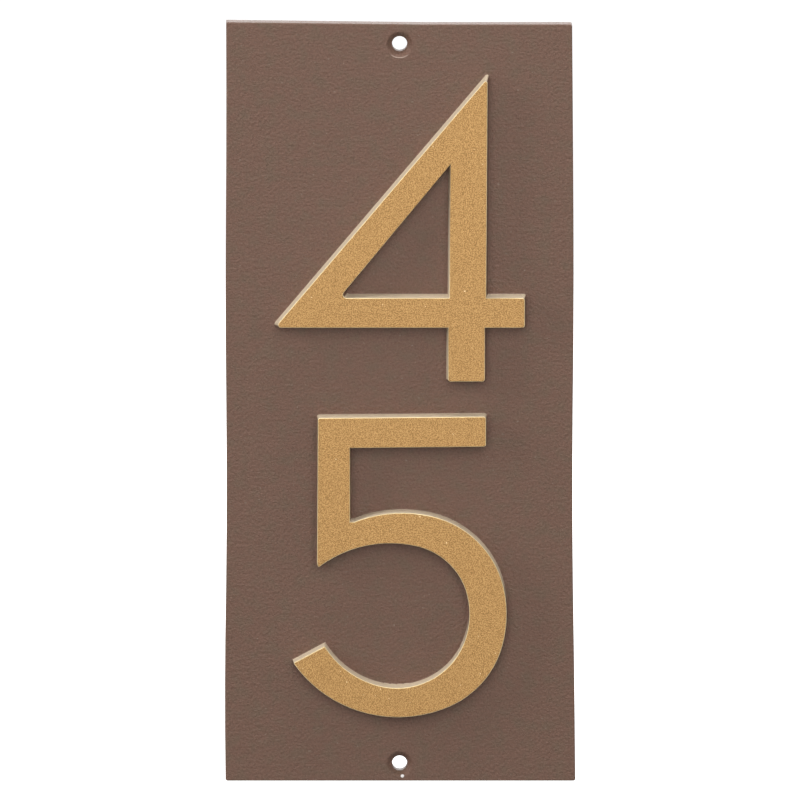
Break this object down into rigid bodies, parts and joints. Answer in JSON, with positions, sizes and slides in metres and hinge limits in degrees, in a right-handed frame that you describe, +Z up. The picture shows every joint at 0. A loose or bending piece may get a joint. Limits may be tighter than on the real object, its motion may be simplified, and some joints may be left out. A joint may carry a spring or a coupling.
{
  "type": "house number wall plaque",
  "caption": "Upright cast house number plaque with raised gold numerals on a brown textured plate, screwed flat to a wall.",
  "frame": {"origin": "on the back face, midway between the two screw holes", "axes": "+Z up the wall, +Y into the wall, the numerals face -Y, +X to the right of someone reading them"},
  "size_m": [0.1158, 0.0098, 0.2545],
  "materials": {
    "brown_coat": "textured satin taupe-brown coat on cast aluminium",
    "gold_paint": "satin metallic gold paint"
  },
  "bodies": {
    "root": {"plaque": "brown_coat", "gold_paint_4": "gold_paint", "gold_paint_5": "gold_paint"}
  },
  "joints": []
}
